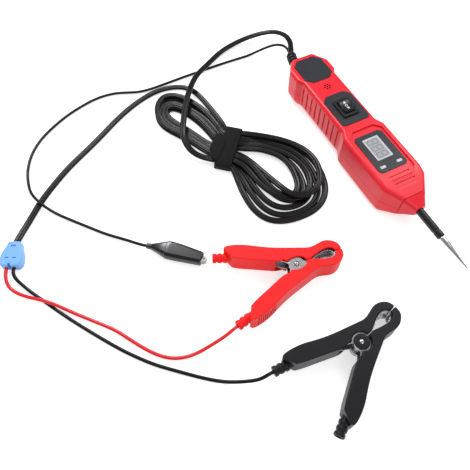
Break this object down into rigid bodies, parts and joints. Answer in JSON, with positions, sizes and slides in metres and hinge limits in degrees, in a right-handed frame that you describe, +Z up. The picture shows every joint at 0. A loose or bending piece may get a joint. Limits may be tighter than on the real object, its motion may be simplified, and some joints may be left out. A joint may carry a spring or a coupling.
{
  "type": "automotive circuit tester",
  "caption": "Hand-held automotive circuit tester with probe tip, rocker switch and digit display, on a hanked cord that splits into battery clamp leads and a ground clip lead.",
  "frame": {"origin": "under the middle of the tester, from its strain relief to its probe tip, on the plane that everything lies on", "axes": "+X along the tester towards the probe tip, +Y to the side the strain relief bends to, +Z up out of the display"},
  "size_m": [0.4173, 0.3668, 0.0405],
  "materials": {
    "red_shell": "fine moulded texture, satin",
    "dark_plate": "satin panel",
    "smoked_window": "clear grey window over the digits",
    "black_plastic": "moulded, half gloss",
    "clear_lens": "clear",
    "board": "green laminate",
    "plated_steel": "bright plating",
    "brass": "turned",
    "cord_sheath": "smooth sheath",
    "red_sheath": "smooth sheath",
    "tie_fabric": "hook and loop strap",
    "blue_plastic": "moulded, satin",
    "clamp_red": "moulded, satin",
    "clamp_black": "moulded, satin",
    "boot_vinyl": "glossy vinyl"
  },
  "bodies": {
    "tester": {"black_clamp_fixed_arm": "plated_steel", "black_clamp_fixed_cover": "clamp_black", "black_clamp_rivet": "plated_steel", "black_clamp_spring": "plated_steel", "black_lead": "cord_sheath", "buzzer": "black_plastic", "cable_tie": "tie_fabric", "casing_screw_1": "plated_steel", "casing_screw_2": "plated_steel", "casing_screw_3": "plated_steel", "casing_screw_4": "plated_steel", "circuit_board": "board", "circuit_breaker": "black_plastic", "clip_boot": "boot_vinyl", "clip_fixed_jaw": "plated_steel", "clip_pin": "plated_steel", "clip_spring": "plated_steel", "cord_hank": "cord_sheath", "display_module": "black_plastic", "display_panel": "dark_plate", "display_window": "smoked_window", "far_indicator": "clear_lens", "ground_lead": "cord_sheath", "label_plate": "dark_plate", "lower_shell": "red_shell", "main_cord_front": "cord_sheath", "main_cord_rear": "cord_sheath", "near_indicator": "clear_lens", "nose_cap": "red_shell", "probe_sleeve": "black_plastic", "probe_socket": "brass", "probe_tip": "plated_steel", "red_clamp_fixed_arm": "plated_steel", "red_clamp_fixed_cover": "clamp_red", "red_clamp_rivet": "plated_steel", "red_clamp_spring": "plated_steel", "red_lead": "red_sheath", "splitter_block": "blue_plastic", "strain_relief": "cord_sheath", "switch_housing": "black_plastic", "switch_plate": "dark_plate", "upper_shell": "red_shell", "work_lamp": "clear_lens"},
    "rocker": {"rocker": "black_plastic"},
    "red_moving_half": {"red_clamp_moving_arm": "plated_steel", "red_clamp_moving_cover": "clamp_red"},
    "black_moving_half": {"black_clamp_moving_arm": "plated_steel", "black_clamp_moving_cover": "clamp_black"},
    "clip_jaw": {"clip_moving_jaw": "plated_steel"}
  },
  "joints": [
    {"name": "rocker_tilt", "type": "hinge", "parent": "tester", "child": "rocker", "pos_m": [-0.03858, 0, 0.035], "axis": [0, 1, 0], "range_deg": [-9, 9], "stiffness_Nm_per_rad": 0.05},
    {"name": "red_clamp_opening", "type": "hinge", "parent": "tester", "child": "red_moving_half", "pos_m": [0.0767, -0.1203, 0.01], "axis": [0, 0, 1], "range_deg": [0, 30], "stiffness_Nm_per_rad": 0.4, "springref_deg": -20.05, "deforming": ["red_clamp_spring"]},
    {"name": "black_clamp_opening", "type": "hinge", "parent": "tester", "child": "black_moving_half", "pos_m": [0.1568, -0.1099, 0.01], "axis": [0, 0, -1], "range_deg": [0, 30], "stiffness_Nm_per_rad": 0.4, "springref_deg": -20.05, "deforming": ["black_clamp_spring"]},
    {"name": "clip_opening", "type": "hinge", "parent": "tester", "child": "clip_jaw", "pos_m": [0.0172, -0.2016, 0.0052], "axis": [0, 0, 1], "range_deg": [0, 18], "stiffness_Nm_per_rad": 0.02, "springref_deg": -20.05, "deforming": ["clip_spring", "clip_boot"]}
  ]
}
